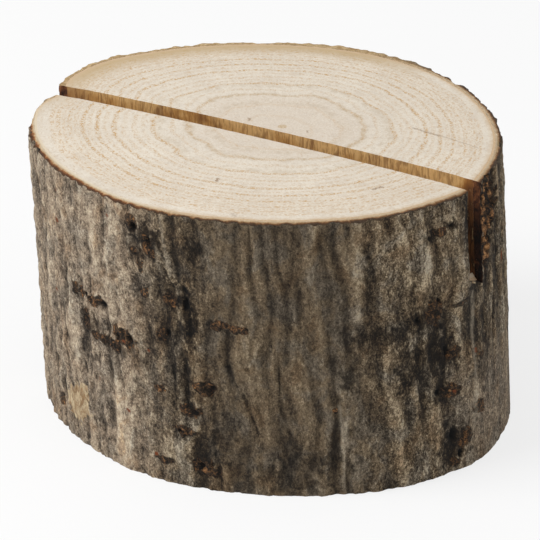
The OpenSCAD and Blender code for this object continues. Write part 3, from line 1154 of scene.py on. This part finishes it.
# Broad tan bands between them: the place, the half width and the strength
BANDS = [(0.3, 0.034, 0.24), (0.385, 0.03, 0.38), (0.5, 0.034, 0.24)]
# Small dark marks on the top face in millimetres: from, to and half width, and the strength
SCRATCHES = [
    ((15.6, 11.5), (19.6, 10.9), 0.26, 0.5), ((19, 11.2), (25.6, 10.1), 0.16, 0.35),
    ((2.2, -14.9), (2.35, -15.6), 0.3, 0.7), ((20.5, -8), (21.2, -6.7), 0.26, 0.7),
    ((9.2, -23.1), (9.8, -23.5), 0.45, 0.3), ((11.1, -23.8), (11.7, -23.9), 0.3, 0.3),
    ((-4.1, 3.6), (-3.9, 3.2), 0.3, 0.6), ((4.3, 3.9), (4.5, 3.5), 0.22, 0.5),
]


# Stretches of the slot's walls along X: where each look begins and where it is full
# The walls are painted darker towards the mouth, as shade
PAINTED_SHADE_MOUTH = (26.5 * MM, 30 * MM)
FRESH_STRETCH = (9 * MM, 19 * MM)
DARK_FAR_END = (-25 * MM, -30.5 * MM)


def slot_walls(mix, fibre):
    """The sides of the cut: gold where the blade ran freely, with brown patches, and painted shade that
    darkens them towards the floor and at the mouth.
    """
    down = mix.between(mix.axis("Z"), BLOCK_H, SLOT_FLOOR, how="LINEAR")
    along = mix.axis("X")
    mouth = mix.between(along, *PAINTED_SHADE_MOUTH, 0, 0.75)
    fresh = mix.between(along, *FRESH_STRETCH, 0, 0.13)
    far_end = mix.between(along, *DARK_FAR_END, 0, 0.6)
    plank = mix.noise((1.6, 8, 5), 3, 0.6, 0.4)
    patch = mix.noise((5, 8, 4), 3, 0.6)
    # Brown patches, and painted shade: darker down towards the floor and towards the mouth, less on the
    # fresh stretch
    patches_and_painted_shade = mix.total(
        (down, 1), (patch, 0.9), (mouth, 0.75), (mix.times(mouth, down), 1.2), (fresh, -1)
    )
    return mix.coats(
        mix.ramp(
            mix.less(patches_and_painted_shade, 0.45), (0, 216, 174, 114), (0.14, 192, 144, 82),
            (0.34, 148, 97, 46), (0.6, 86, 48, 22), (1, 38, 19, 9),
        ),
        (mix.between(fibre, 0.44, 0.64, 0, 0.6), (122, 80, 42)),
        (mix.between(fibre, 0.46, 0.34, 0, 0.4), (226, 188, 132)),
        (mix.between(plank, 0.50, 0.64, 0, 0.55), (112, 72, 40)),
        (far_end, (110, 66, 32)),
    )


def wood_finish():
    mix = Mix(bpy.data.materials.new("sawn_wood"))
    ring = mix.fact("ring")
    polar = mix.fact("polar", "Vector")
    bend = mix.noise((5.5, 5.5, 60), 2, 0.5)
    jitter = mix.noise((1, 1, 8), 2, 0.5)
    dashes = mix.noise((0.9, 0.9, 0.3), 2, 0.6, vector=polar)
    pores = mix.noise((0.26, 0.26, 0.22), 1, 0.5, vector=polar)
    rays = mix.noise((0.28, 0.28, 4), 3, 0.6, vector=polar)
    cloud = mix.noise((7, 7, 30), 3, 0.55)
    blotch = mix.noise((1.1, 1.1, 6), 3, 0.6, 0.6)
    fine = mix.noise((0.26, 0.26, 1.5), 3, 0.7)
    fibre = mix.noise((0.27, 2, 1.9), 4, 0.7, 0.4)
    sway = mix.times(mix.less(bend, 0.5), mix.between(ring, 0.2, 0.85, 0.15, 0.035))
    shake = mix.times(mix.less(jitter, 0.5), 0.008)
    where = mix.total((ring, 1), (sway, 1), (shake, 1))
    lines, beads = 0, 0
    for place, strength in RINGS:
        gap = mix.apart(where, place)
        lines = mix.maths("MAXIMUM", lines, mix.between(gap, 0.022, 0.002, 0, strength))
        beads = mix.maths("MAXIMUM", beads, mix.between(gap, 0.014, 0.005, 0, strength))
    beads = mix.times(beads, mix.between(dashes, 0.34, 0.54, 0.15, 1))
    beads = mix.times(beads, mix.between(pores, 0.46, 0.58))
    early = mix.times(mix.between(dashes, 0.54, 0.66), mix.between(pores, 0.48, 0.60))
    bands = []
    for place, width, strength in BANDS:
        band = mix.between(mix.apart(where, place), width, 0, 0, strength)
        bands.append(mix.times(band, mix.between(blotch, 0.38, 0.6, 0.1, 1)))
    stain = mix.total(("stain", 1), (mix.less(blotch, 0.5), 0.3))
    colour = mix.coats(
        mix.ramp(cloud, (0.3, 218, 208, 193), (0.7, 229, 220, 205)),
        (mix.between(where, 0.46, 0.30, 0, 0.7), (215, 202, 186)),
        (mix.between(blotch, 0.50, 0.66, 0, 0.35), (204, 193, 180)),
        (mix.between(rays, 0.42, 0.62, 0, 0.22), (206, 190, 170)),
        (mix.between(fine, 0.50, 0.66, 0, 0.34), (200, 180, 154)),
        (mix.between(fine, 0.48, 0.34, 0, 0.30), (240, 232, 219)),
        (mix.times(early, 0.5), (190, 158, 118)),
        (mix.times(lines, 0.22), (206, 182, 148)),
        (mix.times(beads, 0.9), (194, 154, 100)),
        *((band, (178, 156, 122)) for band in bands),
        (mix.between(stain, 0.02, 0.95, 0, 0.85, "LINEAR"), (184, 154, 104)),
        (mix.times("rim", mix.between(blotch, 0.3, 0.6, 0.3, 0.8)), (204, 180, 148)),
        *((mix.times(mix.stroke(*line), strength), (132, 100, 66)) for *line, strength in SCRATCHES),
        ("wall", slot_walls(mix, fibre)),
    )
    bumps = mix.total((fine, 0.9), (beads, -0.7), (fibre, 1.2))
    return mix.finish(colour, 0.82, bumps, 0.07 * MM, 0.6)


# %% [markdown]
# ## The thin layers
#
# The inner bark is a tan fibre, creamier where the bark beside it is rusty, and the pith is a
# soft crumb. Both are so thin that one noise each is enough.

# %% Inner bark and pith materials
def bast_finish():
    mix = Mix(bpy.data.materials.new("brown_bast"))
    fibre = mix.noise((0.25, 0.25, 2), 4, 0.65)
    colour = mix.coats(
        mix.ramp(fibre, (0.3, 190, 160, 124), (0.5, 204, 176, 142), (0.7, 214, 190, 158)),
        ("creamy", (220, 205, 180)),
        # The walls of the cut, with painted shade
        ("kerf", kerf_bark_painted_shade(mix)),
    )
    return mix.finish(colour, 0.9, fibre, 0.1 * MM, 0.7)


def pith_finish():
    mix = Mix(bpy.data.materials.new("soft_pith"))
    crumb = mix.noise((0.2, 0.2, 0.5), 4, 0.7)
    colour = mix.ramp(crumb, (0.3, 178, 150, 114), (0.7, 222, 206, 180))
    return mix.finish(colour, 0.9, crumb, 0.1 * MM, 0.7)


def clothe(piece, material):
    """Gives a piece one material."""
    piece.data.materials.clear()
    piece.data.materials.append(material)


clothe(bark, bark_finish())
clothe(wood, wood_finish())
clothe(bast, bast_finish())
clothe(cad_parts["pith"], pith_finish())
for piece, angle in ((bark, 60), (wood, 30), (bast, 40)):
    pick(piece)
    bpy.ops.object.shade_smooth_by_angle(angle=math.radians(angle))
print("Four finishes are on")

# %% [markdown]
# ## Put the new pieces in place of the CAD nodes
#
# Each new piece takes the place of one CAD node, which is hidden, and stays with the body that
# never moves. The pith is still the CAD node itself.

# %% Ride and replace
for piece, node_name, slot_name in (
    (bark, "outer_bark", "outer_bark"),
    (wood, "wood_block", "sapwood"),
    (bast, "inner_bark", "inner_bark"),
):
    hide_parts(node_name)
    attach(piece, "root")

# %% [markdown]
# ## Floor and light
#
# The photograph is a product shot on pure white. The floor takes a soft shadow, and to the
# camera it is lifted towards white. The light is a big soft box, high on the left.

# %% Floor
FLOOR_SIZE = 8
FLOOR_LIFT = 0.75


def show_behind(mix, output, lit, shown, share):
    """Shows a share of a second shader to rays that see the background, or a gloss or glass of it."""
    path = mix.add("ShaderNodeLightPath", {}).outputs
    rays = path["Is Camera Ray"]
    for kind in ("Is Glossy Ray", "Is Transmission Ray"):
        rays = mix.maths("MAXIMUM", rays, path[kind])
    inputs = {0: mix.times(rays, share), 1: lit.outputs[0], 2: shown.outputs[0]}
    both = mix.add("ShaderNodeMixShader", inputs)
    mix.put(mix.nodes[output].inputs["Surface"], both.outputs[0])


bpy.ops.object.select_all(action="DESELECT")
bpy.ops.mesh.primitive_plane_add(size=FLOOR_SIZE, location=(0, 0, 0))
floor = bpy.context.active_object
floor.name = "pale_floor"
mix = Mix(bpy.data.materials.new("pale_floor"))
paper = mix.nodes["Principled BSDF"]
paper.inputs["Base Color"].default_value = (0.9, 0.9, 0.9, 1)
paper.inputs["Roughness"].default_value = 0.9
show_behind(mix, "Material Output", paper, mix.add("ShaderNodeEmission", {}), FLOOR_LIFT)
floor.data.materials.append(mix.owner)
print("The floor is", FLOOR_SIZE, "m wide")

# %% [markdown]
# The sky gives a little even light and is plain white to the camera. Most of the light comes
# from the key lamp, and a weak lamp on the right keeps the shaded side from going black.

# %% World and lamps
SKY_STRENGTH = 0.5
bpy.context.scene.world = bpy.data.worlds.new("soft_sky")
mix = Mix(bpy.context.scene.world)
sky = mix.nodes["Background"]
sky.inputs["Color"].default_value = (1, 1, 1, 1)
sky.inputs["Strength"].default_value = SKY_STRENGTH
white = mix.add("ShaderNodeBackground", {"Color": (255, 255, 255), "Strength": 1})
show_behind(mix, "World Output", sky, white, 1)


def soft_box(name, turn, tilt, distance, size, power):
    """A square area lamp aimed at the block, placed by its angle from the camera's side."""
    lamp = bpy.data.lights.new(name, "AREA")
    lamp.size = size
    lamp.energy = power
    angle = CAMERA_TURN + math.radians(turn)
    stand(name, lamp, Vector((0, 0, BLOCK_H / 2)), angle, math.radians(tilt), distance)


soft_box("key_light", -70, 48, 0.6, 0.3, 2.6)
soft_box("fill_light", 50, 30, 0.8, 0.5, 0.5)
print("The light is set")
